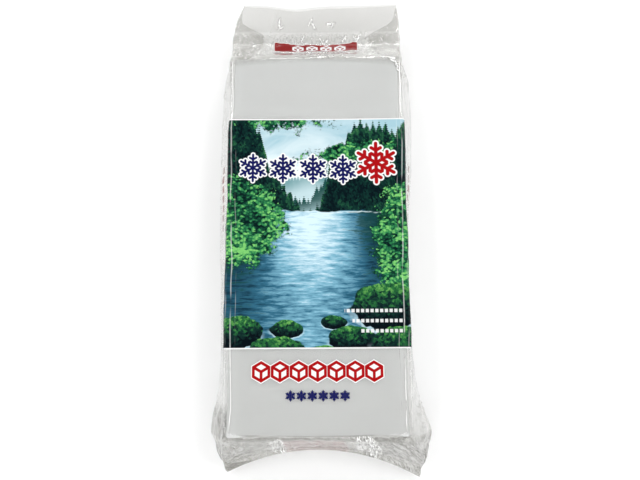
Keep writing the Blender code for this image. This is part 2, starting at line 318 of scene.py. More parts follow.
def scattered(s, t, seed, kinds):
    """The height of straight sharp creases strewn over the flat film, in millimetres.

    Each kind lies within a range of s and of t. Its angle is from the s axis in degrees, and spread is how
    far that strays. Its length, width and height are ranges too.
    """
    draw = np.random.default_rng(seed)
    height = np.zeros(np.broadcast(s, t).shape)
    for kind in kinds:
        for _ in range(kind.count):
            middle_s, middle_t = draw.uniform(*kind.s), draw.uniform(*kind.t)
            turn = math.radians(draw.normal(kind.angle, kind.spread))
            long, wide = draw.uniform(*kind.length) / 2, draw.uniform(*kind.width)
            tall = draw.uniform(*kind.height) * draw.choice((-1.0, 1.0))
            along = ((s - middle_s) * math.cos(turn) + (t - middle_t) * math.sin(turn)) / long
            aside = ((t - middle_t) * math.cos(turn) - (s - middle_s) * math.sin(turn)) / wide
            height += tall * np.clip(1 - np.abs(aside), 0.0, 1.0) * np.clip(1 - along**2, 0.0, 1.0) ** 2
    return height


# s runs round the flat tube from the left crease: the front is 25 to 157 and the back 207 to 339. t runs
# along it from the middle of the block: the block's ends are at 142, the foot's weld is at -171 to -174,
# the top weld at 179 to 185, and the mouth at 210. All are millimetres.
FRONT_CREASES = (
    Creases(6, (27, 155), (-140, 140), 90, 3, (14, 60), (1.6, 2.4), (0.03, 0.08)),
    Creases(5, (27, 42), (-140, 140), 90, 4, (30, 90), (1.6, 2.6), (0.04, 0.12)),
    Creases(5, (140, 155), (-140, 140), 90, 4, (30, 90), (1.6, 2.6), (0.04, 0.12)),
    Creases(24, (28, 154), (143, 178), 30, 30, (10, 34), (1.8, 3.6), (0.08, 0.22)),
    Creases(10, (96, 157), (141, 150), 12, 12, (14, 34), (1.8, 3), (0.1, 0.25)),
    Creases(10, (28, 90), (150, 166), 8, 12, (16, 40), (1.8, 3.4), (0.15, 0.35)),
    Creases(22, (28, 154), (-170, -143), 60, 45, (8, 26), (1.8, 3.4), (0.14, 0.4)),
    Creases(16, (122, 157), (-170, -140), 143, 12, (12, 30), (1.6, 2.8), (0.12, 0.32)),
    Creases(8, (25, 60), (-168, -143), 40, 20, (12, 30), (1.8, 3), (0.14, 0.4)),
)
GUSSET_CREASES = (
    Creases(30, (158, 206), (-120, 120), 90, 14, (18, 70), (1.6, 4), (0.15, 0.5)),
    Creases(30, (340, 363), (-120, 120), 90, 14, (18, 70), (1.6, 4), (0.15, 0.5)),
    Creases(24, (1, 24), (-120, 120), 90, 14, (18, 70), (1.6, 4), (0.15, 0.5)),
    Creases(40, (158, 206), (-168, -112), 70, 40, (8, 30), (1.4, 3.4), (0.3, 0.9)),
    Creases(26, (340, 363), (-168, -112), 100, 40, (8, 26), (1.4, 3.4), (0.3, 0.8)),
    Creases(26, (1, 24), (-168, -112), 80, 40, (8, 26), (1.4, 3.4), (0.3, 0.8)),
    Creases(30, (158, 206), (112, 160), 80, 35, (8, 30), (1.4, 3.4), (0.25, 0.7)),
    Creases(18, (340, 363), (112, 160), 90, 35, (8, 26), (1.4, 3.4), (0.25, 0.7)),
    Creases(18, (1, 24), (112, 160), 90, 35, (8, 26), (1.4, 3.4), (0.25, 0.7)),
)
BACK_CREASES = (
    Creases(30, (210, 336), (143, 178), 90, 40, (8, 28), (1.5, 3.4), (0.15, 0.45)),
    Creases(30, (210, 336), (-170, -143), 90, 40, (8, 24), (1.3, 3.2), (0.15, 0.5)),
)
# Both layers of the header and of the welds wrinkle together, and these lie over x and t instead
HEADER_CREASES = (
    Creases(6, (-64, 64), (184, 210), 90, 20, (8, 20), (2.2, 3.6), (0.1, 0.25)),
    Creases(10, (-62, -34), (184, 206), 120, 25, (8, 20), (2, 3.4), (0.15, 0.32)),
    Creases(10, (38, 62), (184, 206), 60, 25, (8, 20), (2, 3.4), (0.15, 0.32)),
)


# On the block's faces the film can only stand off outwards, and by about this much, in millimetres
FACE_SLACK = 0.055


def standing_off(s, t):
    """How far the film stands off its smooth lie where its layers are apart, in millimetres."""
    on_block = step_up(146.0 - np.abs(t), 0.0, 8.0)
    on_front = step_up(HALF_PANEL - np.abs(s - FRONT_MIDDLE), 0.0, 0.5)
    on_back = step_up(HALF_PANEL - np.abs(s - BACK_MIDDLE), 0.0, 0.5)
    on_gusset = 1 - on_front - on_back

    height = scattered(s, t, 3, FRONT_CREASES + GUSSET_CREASES + BACK_CREASES)
    pouch = (1 - on_block) * (1 - on_gusset)
    for share, kind, tall, wide, long, seed in (
        (on_gusset, soft_noise, 0.55, 9.0, 34.0, 5), (on_gusset, sharp_noise, 0.3, 6.0, 15.0, 6),
        (on_gusset, sharp_noise, 0.16, 3.4, 7.0, 7), (pouch, soft_noise, 0.55, 15.0, 13.0, 8),
        (pouch, sharp_noise, 0.3, 6.5, 8.0, 9), (pouch, sharp_noise, 0.13, 2.9, 3.9, 10),
    ):
        height += share * tall * kind(s / wide, t / long, seed)
    to_weld = np.minimum(np.abs(t - TOP_POUCH_END), np.abs(t - FOOT_POUCH_END))
    gathers = sharp_noise(s / 4.2, t / 30.0, 11) + 0.6 * sharp_noise(s / 2.3, t / 22.0, 12)
    height += 0.45 * gathers * np.exp(-to_weld / 6.5)

    face = on_block * (on_front + on_back)
    height += face * on_front * 0.012 * (1 + soft_noise(s / 14.0, t / 70.0, 13))
    tight = FACE_SLACK * np.tanh(np.abs(height) / FACE_SLACK)
    height += step_up(face, 0.2, 0.6) * (tight - height)
    height *= 1 - on_back * on_block

    from_fold = np.minimum(np.abs(s - LEFT_FOLD), np.abs(s - RIGHT_FOLD))
    from_crease = np.minimum(np.minimum(s, ROUND_FILM - s), np.abs(s - RIGHT_CREASE))
    worn = 0.75 + 0.25 * soft_noise(s / 30.0, t / 24.0, 15)
    height += worn * (0.75 * np.exp(-((from_fold / 1.1) ** 2)) + 0.6 * np.exp(-((from_crease / 1.4) ** 2)))
    return height


def lying_together(x, t):
    """How far both layers of a weld or of the header stand off together, in millimetres."""
    past_weld = step_up(np.abs(t - TOP_WELD), 3.0, 6.0) * step_up(t, 150.0, 182.0)
    header = step_up(t, 184.0, 190.0)
    height = header * scattered(x, t, 21, HEADER_CREASES)
    gathers = sharp_noise(x / 5.2 + 40, t / 26.0, 22) + 0.5 * sharp_noise(x / 2.6 + 40, t / 18.0, 23)
    near_weld = np.exp(-np.minimum(np.abs(t - TOP_WELD), np.abs(t - FOOT_WELD)) / 7.0)
    height += 0.3 * gathers * near_weld * (0.35 + 0.65 * past_weld)
    sides = step_up(np.abs(x), 26.0, 46.0)
    swell = (0.22 + 0.18 * sides) * soft_noise(x / 21.0, t / 14.0, 24)
    height += header * (swell + 0.14 * sides * sharp_noise(x / 5.0, t / 6.0, 25))
    return height


def outward_normals(points):
    """The unit normal at each point of the film, out of the pack."""
    normals = np.cross(np.gradient(points, axis=0), np.gradient(points, axis=1))
    normals /= np.maximum(np.linalg.norm(normals, axis=2, keepdims=True), 1e-12)
    middle = GUSSET_COLUMNS + FRONT_COLUMNS // 2
    return normals * np.sign(normals[len(points) // 2, middle, 2])


def length_along(points):
    """How far each row lies along the flat film from the middle of the block, down the front's middle."""
    middle = points[:, GUSSET_COLUMNS + FRONT_COLUMNS // 2, 1:]
    steps = np.linalg.norm(np.diff(middle, axis=0), axis=1)
    along = np.concatenate([[0.0], np.cumsum(steps)])
    return along - np.interp(0.0, middle[:, 0], along)


def header_lift(profile):
    """0 at the top weld, rising to 1 at the mouth."""
    weld_end = BLOCK_END + HEADER[0].mid_y * MM
    mouth = BLOCK_END + HEADER[-1].mid_y * MM
    return np.clip((profile["mid_y"] - weld_end) / (mouth - weld_end), 0.0, 1.0)


def wrinkled_film():
    """The film's points with every wrinkle, and where each lies on the flat tube."""
    profile = film_profile(film_rows())
    points, round_film = film_points(profile)
    along_film = length_along(points)
    s, t = round_film[None, :] / MM, along_film[:, None] / MM

    together = np.maximum(step_up(t, 148.0, 176.0), step_up(-t, 154.0, 168.0))
    apart = np.clip((profile["front_z"] - profile["back_z"])[:, None] / (12.0 * MM), 0.0, 1.0)
    height = standing_off(s, t) * apart
    height[:, -1] = height[:, 0]
    shared = lying_together(points[:, :, 0] / MM, t) * together
    lift = header_lift(profile)[:, None]
    from_dip = (points[:, :, 0] - profile["sway"][:, None] - HEADER_DIP_X) / HEADER_DIP_WIDTH
    wave = -HEADER_DIP * np.exp(-(from_dip**2)) * lift

    points = points + outward_normals(points) * height[:, :, None] * MM
    points[:, :, 1] += wave
    points[:, :, 2] += wave + shared * MM
    points[:, :, 2] = np.maximum(points[:, :, 2], 0.0)
    points[:, -1] = points[:, 0]
    return points, round_film, along_film


# ------------------------------
# Pieces

def dressed_object(name, shape, material):
    """A finished mesh as an object of the scene."""
    mesh = bpy.data.meshes.new(name)
    shape.to_mesh(mesh)
    shape.free()
    mesh.materials.append(material)
    return scene_object(name, mesh)


def scene_object(name, data):
    """A new object of the scene, with its data."""
    made = bpy.data.objects.new(name, data)
    bpy.context.scene.collection.objects.link(made)
    return made


def add_piece(name, shape, material, node):
    """A finished mesh as a piece that rides on the pack and stands for one of the frame's nodes."""
    piece = dressed_object(name, shape, material)
    piece.data.shade_smooth()
    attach(piece, "root")
    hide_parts(node)
    return piece


def make_film():
    """The bag: a grid of film rolled into its tube, laid in its wrinkles and joined down the left crease."""
    points, round_film, along_film = wrinkled_film()
    rows, columns = points.shape[0] - 1, points.shape[1] - 1
    shape = bmesh.new()
    bmesh.ops.create_grid(shape, x_segments=columns, y_segments=rows, size=1.0)
    flat = shape.loops.layers.uv.new("flat_tube")
    seam = []
    for vert in shape.verts:
        column = round((vert.co.x + 1) / 2 * columns)
        row = round((vert.co.y + 1) / 2 * rows)
        u = round_film[column] / round_film[-1]
        v = (along_film[row] - along_film[0]) / (along_film[-1] - along_film[0])
        for loop in vert.link_loops:
            loop[flat].uv = (u, v)
        vert.co = points[row, column]
        if column in (0, columns):
            seam.append(vert)
    bmesh.ops.remove_doubles(shape, verts=seam, dist=1e-7)
    bmesh.ops.recalc_face_normals(shape, faces=shape.faces)
    top_face = max(shape.faces, key=lambda face: face.calc_center_median().z)
    if top_face.normal.z < 0:
        bmesh.ops.reverse_faces(shape, faces=shape.faces)
    material = film_material(along_film[0] / MM, along_film[-1] / MM)
    piece = add_piece("printed_film_bag", shape, material, "film_bag")
    wall = piece.modifiers.new("film", "SOLIDIFY")
    wall.thickness = FILM_THICKNESS
    wall.offset = -1.0
    return piece


def melted(place):
    """How deep melting has eaten into the block at a point."""
    deep = MELT_DEPTH * (0.5 + 0.5 * noise.noise(place / MELT_PITCH))
    fine = FINE_MELT_DEPTH * (0.5 + 0.5 * noise.noise(place / FINE_MELT_PITCH))
    return deep + fine


def make_ice(material):
    """The block: a box with rounded edges, cut into small faces that are eaten back a little unevenly."""
    size = BLOCK_HIGH - BLOCK_LOW + Vector((2, 2, 1)) * BLOCK_MELTED_BACK
    middle = Vector((0.0, 0.0, BLOCK_LOW.z + size.z / 2))
    shape = bmesh.new()
    bmesh.ops.create_cube(shape, size=1.0)
    bmesh.ops.scale(shape, vec=size, verts=shape.verts)
    bmesh.ops.bevel(
        shape, geom=shape.edges[:], offset=BLOCK_EDGE_ROUND,
        affect="EDGES", segments=5, profile=0.5, material=-1,
    )
    for axis in range(3):
        cuts = int(size[axis] / BLOCK_CELL)
        normal = Vector()
        normal[axis] = 1.0
        for cut in range(1, cuts):
            place = normal * size[axis] * (cut / cuts - 0.5)
            geometry = shape.verts[:] + shape.edges[:] + shape.faces[:]
            bmesh.ops.bisect_plane(shape, geom=geometry, dist=1e-6, plane_co=place, plane_no=normal)
    shape.normal_update()
    for vert in shape.verts:
        if vert.normal.z > -0.99:
            vert.co -= vert.normal * melted(vert.co)
    bmesh.ops.translate(shape, vec=middle, verts=shape.verts)
    return add_piece("clear_ice", shape, material, "ice_block")


# ------------------------------
# Shader values

class Field:
    """A number or vector that changes over a surface, worked out by shader nodes."""

    def __init__(self, tree, socket):
        self.tree, self.socket = tree, socket

    def maths(self, operation, *terms):
        """This field and the terms through a Math node."""
        return Field(self.tree, add_node(self.tree, "Math", (self, *terms), operation=operation).outputs[0])

    __add__ = partialmethod(maths, "ADD")
    __sub__ = partialmethod(maths, "SUBTRACT")
    __mul__ = partialmethod(maths, "MULTIPLY")
    __truediv__ = partialmethod(maths, "DIVIDE")
    __pow__ = partialmethod(maths, "POWER")
    __neg__ = partialmethod(maths, "MULTIPLY", -1)
    __abs__ = partialmethod(maths, "ABSOLUTE")
    at_least = partialmethod(maths, "MAXIMUM")
    at_most = partialmethod(maths, "MINIMUM")

    def stepped(self, low, high, start=0, end=1):
        """start up to low, running smoothly to end from high on."""
        terms = (self, low, high, start, end)
        made = add_node(self.tree, "MapRange", terms, interpolation_type="SMOOTHSTEP")
        return Field(self.tree, made.outputs["Result"])

    def below(self, edge, soft):
        """1 below the edge and 0 above it, softened by soft on each side."""
        return self.stepped(edge - soft, edge + soft, 1, 0)


def feed(tree, socket, term):
    """Links a field into a socket, or sets the socket's own value."""
    if isinstance(term, Field):
        tree.links.new(term.socket, socket)
    else:
        socket.default_value = term


def fill(tree, node, inputs):
    """Feeds a node's inputs by name, or in order."""
    for socket, term in inputs.items() if isinstance(inputs, dict) else enumerate(inputs):
        feed(tree, node.inputs[socket], term)


def add_node(tree, kind, inputs=(), **settings):
    """A new node with its settings made and its inputs fed."""
    made = tree.nodes.new("ShaderNode" + kind)
    for setting, value in settings.items():
        setattr(made, setting, value)
    fill(tree, made, inputs)
    return made


def joined(x, y, z=0):
    """A place from its three numbers."""
    return Field(x.tree, add_node(x.tree, "CombineXYZ", (x, y, z)).outputs[0])


def separated(place):
    """The three numbers of a place."""
    return [Field(place.tree, socket) for socket in add_node(place.tree, "SeparateXYZ", (place,)).outputs]


def noisy(place, scale, detail=2, roughness=0.5, warp=0, dimensions="2D"):
    """Noise about 0.5 over a place."""
    inputs = {"Vector": place, "Scale": scale, "Detail": detail, "Roughness": roughness, "Distortion": warp}
    made = add_node(place.tree, "TexNoise", inputs, noise_dimensions=dimensions)
    return Field(place.tree, made.outputs["Fac"])


def cells(place, scale):
    """Scattered cells: the distance to a cell's middle, its own number 0 to 1, and the height over it."""
    tree = place.tree
    made = add_node(tree, "TexVoronoi", {"Vector": place, "Scale": scale}, voronoi_dimensions="2D")
    number = add_node(tree, "SeparateColor", (Field(tree, made.outputs["Color"]),))
    middle = separated(Field(tree, made.outputs["Position"]))
    over = separated(place)[1] - middle[1]
    return Field(tree, made.outputs["Distance"]), Field(tree, number.outputs[0]), over


def ramped(value, stops):
    """A colour from a ramp through (place, red, green, blue) stops."""
    made = add_node(value.tree, "ValToRGB", (value,))
    ramp = made.color_ramp
    while len(ramp.elements) < len(stops):
        ramp.elements.new(1)
    for element, (place, *colour) in zip(ramp.elements, stops):
        element.position = place
        element.color = (*colour, 1)
    return Field(value.tree, made.outputs[0])


def painted(under, over, share):
    """The colour over laid on the colour under."""
    made = add_node(share.tree, "Mix", {"Factor": share}, data_type="RGBA")
    for name, colour in (("A", under), ("B", over)):
        socket = next(s for s in made.inputs if s.name == name and s.type == "RGBA")
        feed(share.tree, socket, colour if isinstance(colour, Field) else (*colour, 1))
    return Field(share.tree, next(s for s in made.outputs if s.type == "RGBA"))


def oval(x, y, middle_x, middle_y, half_width, half_height):
    """The square of the distance from an oval's middle, 1 on its rim."""
    return ((x - middle_x) / half_width) ** 2 + ((y - middle_y) / half_height) ** 2


def new_group(name, outputs):
    """An empty group over X and Y: the group, both as fields, and a function that feeds its outputs."""
    group = bpy.data.node_groups.new(name, "ShaderNodeTree")
    for socket in ("X", "Y"):
        group.interface.new_socket(socket, in_out="INPUT", socket_type=NUMBER)
    for socket, kind in outputs.items():
        group.interface.new_socket(socket, in_out="OUTPUT", socket_type=kind)
    source = group.nodes.new("NodeGroupInput")
    sink = group.nodes.new("NodeGroupOutput")
    x, y = Field(group, source.outputs["X"]), Field(group, source.outputs["Y"])
    return group, x, y, lambda socket, term: feed(group, sink.inputs[socket], term)


def placed(tree, group, x, y):
    """A group placed over x and y in a material or another group. Returns its outputs as fields by name."""
    made = add_node(tree, "Group", {"X": x, "Y": y}, node_tree=group)
    return {socket.name: Field(tree, socket) for socket in made.outputs}


# ------------------------------
# The print

NUMBER = "NodeSocketFloat"
COLOUR = "NodeSocketColor"

WHITE_INK = (0.86, 0.86, 0.86)
NAVY_INK = (0.004, 0.006, 0.085)
RED_INK = (0.38, 0.004, 0.006)
DEEP_RED_INK = (0.245, 0, 0)

PICTURE_HALF_WIDTH = 69
PICTURE_BOTTOM = -81.7
PICTURE_TOP = 91.2


def sector(x, y, count, turn):
    """Folds the plane round its middle into one of count equal sectors: along its axis, and aside."""
    angle = y.maths("ARCTAN2", x) - turn
    sweep = 2 * math.pi / count
    folded = angle.maths("WRAP", sweep / 2, -sweep / 2)
    radius = (x * x + y * y).maths("SQRT")
    return radius * folded.maths("COSINE"), abs(radius * folded.maths("SINE"))


def from_line(along, aside, start, length, angle):
    """The distance from a straight stroke that leaves the axis at start, at an angle to it."""
    c, s = math.cos(angle), math.sin(angle)
    past = along - start
    reach = (past * c + aside * s).at_least(0).at_most(length)
    dx, dy = past - reach * c, aside - reach * s
    return (dx * dx + dy * dy).maths("SQRT")


def snowflake_group():
    """A six-armed flake of radius 1: the distance from its strokes."""
    group, x, y, out = new_group("snowflake", {"Distance": NUMBER})
    along, aside = sector(x, y, 6, math.pi / 2)
    arm = from_line(along, aside, 0, 1, 0)
    for start in (0.34, 0.64):
        arm = arm.at_most(from_line(along, aside, start, 0.26, math.radians(60)))
    out("Distance", arm)
    return group


def ice_cube_group():
    """A cube seen corner on, of radius 1: the distance from its edges."""
    group, x, y, out = new_group("ice_cube_mark", {"Distance": NUMBER})
    face, _ = sector(x, y, 6, 0)
    past_rim = face - 0.8
    _, aside = sector(x, y, 3, -math.pi / 2)
    out("Distance", abs(past_rim).at_most(aside.at_least(past_rim)))
    return group


# Where leaves hang: how much they rise to the right, where their middle lies, how wide and how tall they
# are for their size, and that size
BOUGHS = (
    (0, -66, 10, 1.25, 1, 36), (0, 70, -6, 0.9, 1.5, 34),
    (0.2, 24, 58, 2.3, 0.62, 17), (-0.1, -34, 98, 2.4, 1, 19),
)

# Mossy stones along the near shore, from the back: where each lies, and half its width and height
STONES = (
    (12, -63, 9, 5), (-22, -68, 12, 6.5), (50, -52, 25, 17), (-59, -70, 19, 12),
    (24, -75, 17, 9.5), (-28, -83, 21, 10), (61, -79, 22, 13), (5, -88, 15, 9),
)


def fir_ridge(x, y, base, wide, tall, seed):
    """How far a place is above a row of firs. Each stands wide from the next, up to tall over base."""
    above = []
    for shift in (0, 0.5):
        row = x / wide + (seed + shift)
        number = add_node(row.tree, "TexWhiteNoise", {"W": row.maths("FLOOR")}, noise_dimensions="1D")
        height = Field(row.tree, number.outputs["Value"])
        from_trunk = abs(row.maths("FRACT") - 0.5) * wide
        branches = (y * 0.62 + height * 9).maths("FRACT") * 1.1
        above.append(y - base - height * tall + (from_trunk + branches) * 2.7)
    return above[0].at_most(above[1])


def lake_scene_group():
    """The picture: firs in mist, bright leaves on both banks, and a pale lake with mossy stones."""
    group, x, y, out = new_group("lake_scene", {"Color": COLOUR})
    place = joined(x, y)

    # A pale sky, then three rows of firs, each nearer and darker, with mist between them
    drift = noisy(joined(x * 0.5, y), 0.06, 3, 0.6, 0.5)
    clouds = y.stepped(20, 110) - (drift - 0.5) * 1.1
    colour = ramped(clouds, ((0.1, 0.8, 0.89, 0.91), (0.9, 0.36, 0.56, 0.64)))
    for hill_at, smooth, tall, base, fir, haze, green, pale, soft in (
        (2, 0.02, 24, 34, (4.6, 7, 31), (0.035, 0.5, 0.1, 1), (0.1, 0.26, 0.28), (0.56, 0.72, 0.76), 0.3),
        (8, 0.028, 16, x.stepped(-20, 40, 14, 44), (6.4, 12, 57), (0.04, 0.6, 0.2, 1.2),
         (0.012, 0.07, 0.062), (0.4, 0.58, 0.62), 0.25),
    ):
        crest = noisy(joined(x, hill_at), smooth) * tall + base
        deep, drifting, low, high = haze
        mist = ((crest - y) * deep + drift * drifting).stepped(low, high)
        colour = painted(colour, painted(green, pale, mist), fir_ridge(x, y, crest, *fir).below(0, soft))

    # The nearest firs, lit from above and to the left
    _, needle_shade, _ = cells(joined(x * 1.5, y + x * 0.2), 0.62)
    depth = noisy(place, 0.075, 4, 0.65, 0.6)
    rise = x.stepped(-10, 34, 0, 68) + x.stepped(-62, -4, 80, 0)
    near = fir_ridge(x, y, rise + depth * 12 + 6, 9.5, 17, 83)
    firs = ramped(depth * 0.6 + needle_shade * 0.22 + (near + 9).stepped(-9, 9, 0, 0.16), (
        (0.32, 0, 0.006, 0.009), (0.5, 0.003, 0.03, 0.024),
        (0.64, 0.018, 0.105, 0.045), (0.84, 0.1, 0.3, 0.08),
    ))
    colour = painted(colour, firs, near.below(0, 0.25))

    # The lake, palest in its middle, with the dark firs mirrored in it
    shore = y - 14 - noisy(joined(x, 0), 0.05, 2) * 10
    ripple = noisy(joined(x * 0.16, y), 0.42, 4, 0.65)
    glow = abs((x + 4) * 0.011).stepped(0, 0.62, 1, 0) * y.stepped(-70, 12, 0.35, 1)
    water = ramped(ripple * 0.62 + glow * 0.5 + y.stepped(-80, -30, 0.06, 0), (
        (0.24, 0.004, 0.03, 0.052), (0.42, 0.028, 0.13, 0.21),
        (0.6, 0.19, 0.43, 0.56), (0.8, 0.64, 0.82, 0.9),
    ))
    mirrored = (ripple * 1.4 - glow * 0.9 + y.stepped(-46, 14, -0.35, 0.1)).stepped(0.35, 0.62)
    water = painted(water, (0.004, 0.042, 0.036), mirrored * 0.85)
    colour = painted(colour, water, shore.below(0, 0.5))
    edge = abs(shore + 1).below(0.35, 0.5) * ripple.stepped(0.4, 0.6)
    colour = painted(colour, (0.7, 0.84, 0.88), edge)

    # Leaves on the left bank, on the right bank, and a branch of them over the lake
    leaf, leaf_shade, _ = cells(joined(x, y * 1.35 + noisy(place, 0.12) * 5), 0.46)
    leaves = ramped(leaf_shade * 0.52 - leaf * 0.25 + noisy(place, 0.05, 3) * 0.78, (
        (0.24, 0, 0.01, 0.01), (0.44, 0.006, 0.068, 0.034),
        (0.62, 0.03, 0.23, 0.075), (0.84, 0.19, 0.56, 0.15),
    ))
    ragged = noisy(place, 0.1, 4, 0.7) * 34 - 17 + leaf * 5
    clump = None
    for rise, middle_x, middle_y, wide, tall, size in BOUGHS:
        bough = oval(x, y - x * rise, middle_x, middle_y, wide, tall).maths("SQRT") - size
        clump = clump.at_most(bough) if clump else bough
    clump = clump + ragged
    colour = painted(colour, (0, 0.008, 0.008), clump.below(1, 1.5) * 0.5)
    colour = painted(colour, leaves, clump.below(-1, 1.2))

    # The stones, lit from above, with moss on their tops and pale water round them
    grain = noisy(place, 0.42, 4, 0.7)
    lumps = noisy(place, 0.11, 2)
    _, tuft, _ = cells(place, 0.55)
    for middle_x, middle_y, half_width, half_height in STONES:
        aside, over = (x - middle_x) / half_width, (y - middle_y) / half_height
        reach = (aside * aside + over * over).maths("SQRT") + lumps * 0.4 - 0.2
        moss = ramped(over * 0.34 + grain * 0.55 + tuft * 0.3 - reach * 0.12 + 0.05, (
            (0.2, 0, 0.003, 0.006), (0.46, 0.004, 0.026, 0.022),
            (0.66, 0.022, 0.15, 0.04), (0.92, 0.19, 0.5, 0.11),
        ))
        foam = (reach - 1.06 - grain * 0.12).below(0, 0.07) * (-over).stepped(-0.2, 0.9)
        colour = painted(colour, (0.58, 0.78, 0.86), foam * 0.7)
        colour = painted(colour, moss, reach.below(1, 0.025))
    out("Color", colour)
    return group


def print_group():
    """Every ink on the film over x across the front panel and y along the film, in millimetres.

    Solid is how much of the film the inks cover.
    """
    group, x, y, out = new_group("film_print", {"Color": COLOUR, "Solid": NUMBER})
    flake, cube = snowflake_group(), ice_cube_group()

    # The picture and its thin white margins
    frame_x, frame_y = abs(x) - PICTURE_HALF_WIDTH, y - (PICTURE_TOP + PICTURE_BOTTOM) / 2
    half_height = (PICTURE_TOP - PICTURE_BOTTOM) / 2
    outside = frame_x.at_least(abs(frame_y) - half_height)
    solid = outside.below(0, 0.15)
    scene = placed(group, lake_scene_group(), x, y)["Color"]
    picture = (abs(frame_y) - (half_height - 1)).below(0, 0.15)
    colour = painted(WHITE_INK, scene, picture)

    # Four navy flakes and a red one across the picture, edged in white
    pitch, first, height = 22.4, -47.5, 52.5
    turn = ((x - first) / pitch).maths("ROUND").at_least(0).at_most(3)
    tilt = turn * -0.55
    small_x, small_y = (x - first - turn * pitch) / 10.3, (y - height - tilt) / 10.3
    small = placed(group, flake, small_x, small_y)["Distance"]
    large = placed(group, flake, (x - 44.5) / 15.2, (y - 56) / 15.2)["Distance"]
    for stroke, ink, edge, soft in (
        (small, WHITE_INK, 0.185, 0.02), (small, NAVY_INK, 0.085, 0.02),
        (large, WHITE_INK, 0.165, 0.015), (large, RED_INK, 0.09, 0.015),
    ):
        colour = painted(colour, ink, stroke.below(edge, soft))

    # Three rows of small white dashes low on the right
    row = ((y + 62) / 7.2).maths("ROUND").at_least(-1).at_most(1)
    row_y = abs(y + 62 - row * 7.2)
    start = row * -5.5 + 25
    dash = abs((x / 3.4).maths("FRACT") - 0.5)
    in_row = x.stepped(start - 0.2, start + 0.2) * x.below(62, 0.2)
    mark = row_y.below(1.2, 0.2) * dash.below(0.33, 0.06) * in_row
    colour = painted(colour, WHITE_INK, mark * 0.85)

    # Seven red ice cubes below the picture, edged in white
    pitch, first, height = 13.2, -39.6, -97.2
    turn = ((x - first) / pitch).maths("ROUND").at_least(0).at_most(6)
    cube_x, cube_y = (x - first - turn * pitch) / 6.8, (y - height) / 6.8
    cubes = placed(group, cube, cube_x, cube_y)["Distance"]
    faces = (cube_x * cube_x + cube_y * cube_y).below(0.7, 0.05)
    white_edge = cubes.below(0.26, 0.02).at_least(faces)
    colour = painted(colour, WHITE_INK, white_edge)
    colour = painted(colour, RED_INK, cubes.below(0.15, 0.02))
    solid = solid.at_least(white_edge)

    # A row of six small navy flakes under them
    turn = ((x / 7.6 + 0.5).maths("ROUND") - 0.5).at_least(-2.5).at_most(2.5)
    tiny = placed(group, flake, (x - turn * 7.6) / 3.5, (y + 114) / 3.5)["Distance"]
    navy = tiny.below(0.135, 0.03)
    colour = painted(colour, NAVY_INK, navy)
    solid = solid.at_least(navy)

    # The red band over the top weld's pouch, with its marks and its thin white edge
    band_x, band_y = x + 0.5, y - 175.6 + (x / 33) ** 2 * -2.4 + 2
    edge = noisy(joined(x * 0.1, 3), 1) * 2 - 1
    top_edge = noisy(joined(x * 0.1, 9), 1.3) * 4 - 7
    band_y_worn = band_y + edge
    band = (abs(band_x) - 32.5).at_least(-band_y_worn - 5.2).at_least(band_y_worn + top_edge)
    slot = ((band_x + 3) / 11).maths("ROUND").at_least(-1).at_most(2)
    peg = placed(group, cube, (band_x + 3 - slot * 11) / 4.6, (band_y + 0.4) / 3.7)["Distance"]
    colour = painted(colour, WHITE_INK, band.below(0.55, 0.2))
    colour = painted(colour, DEEP_RED_INK, band.below(0, 0.2))
    colour = painted(colour, WHITE_INK, peg.below(0.17, 0.03) * band.below(0, 0.2))
    solid = solid.at_least(band.below(0.55, 0.2))

    # Small red marks down the left gusset and the right one, and a faint red band at the foot
    gusset = abs(abs(x) - 80)
    beat = abs((y / 7.5).maths("FRACT") - 0.5)
    run = abs(y - 33.75).below(26, 0.3)
    marks = gusset.below(2.6, 0.3) * beat.below(0.36, 0.04) * run
    foot = (abs(x + 3.5) - 21).at_least(y + 145.5).below(0, 1.5)
    colour = painted(colour, RED_INK, marks.at_least(foot))
    solid = solid.at_least(marks * 0.75).at_least(foot * 0.3)

    out("Color", colour)
    out("Solid", solid)
    return group


# ------------------------------
# Materials

def new_material(name):
    """A new material, its node tree and its shader."""
    material = bpy.data.materials.new(name)
    material.use_nodes = True
    return material, material.node_tree, material.node_tree.nodes["Principled BSDF"]


def coordinates(tree, name):
    """A place on the piece."""
    return Field(tree, add_node(tree, "TexCoord").outputs[name])


def bumped(height, distance, strength):
    """The normal that a height gives."""
    inputs = {"Strength": strength, "Distance": distance, "Height": height}
    return Field(height.tree, add_node(height.tree, "Bump", inputs).outputs[0])


def mixed(tree, share, first, second):
    """Two shaders mixed."""
    return add_node(tree, "MixShader", (share, Field(tree, first.outputs[0]), Field(tree, second.outputs[0])))


def ice_material():
    """Clear block ice: smooth where it has melted, faintly streaked the long way, a little blue through."""
    material, tree, shader = new_material("clear_ice")
    place = coordinates(tree, "Object")
    x, y, z = separated(place)
    streaks = noisy(joined(x, y * 0.12, z), 70, dimensions="3D")
    pits = noisy(place, 400, dimensions="3D")
    fill(tree, shader, {
        "Base Color": ICE_COLOUR,
        "Roughness": streaks.stepped(0.3, 0.7, *ICE_ROUGHNESS),
        "Normal": bumped(streaks * 0.7 + pits * 0.3, 0.2 * MM, 0.06),
        "IOR": ICE_IOR,
        "Transmission Weight": ICE_CLEARNESS,
    })
    absorption = add_node(tree, "VolumeAbsorption", {"Color": ICE_TINT, "Density": ICE_DENSITY})
    tree.links.new(absorption.outputs[0], tree.nodes["Material Output"].inputs["Volume"])
    return material
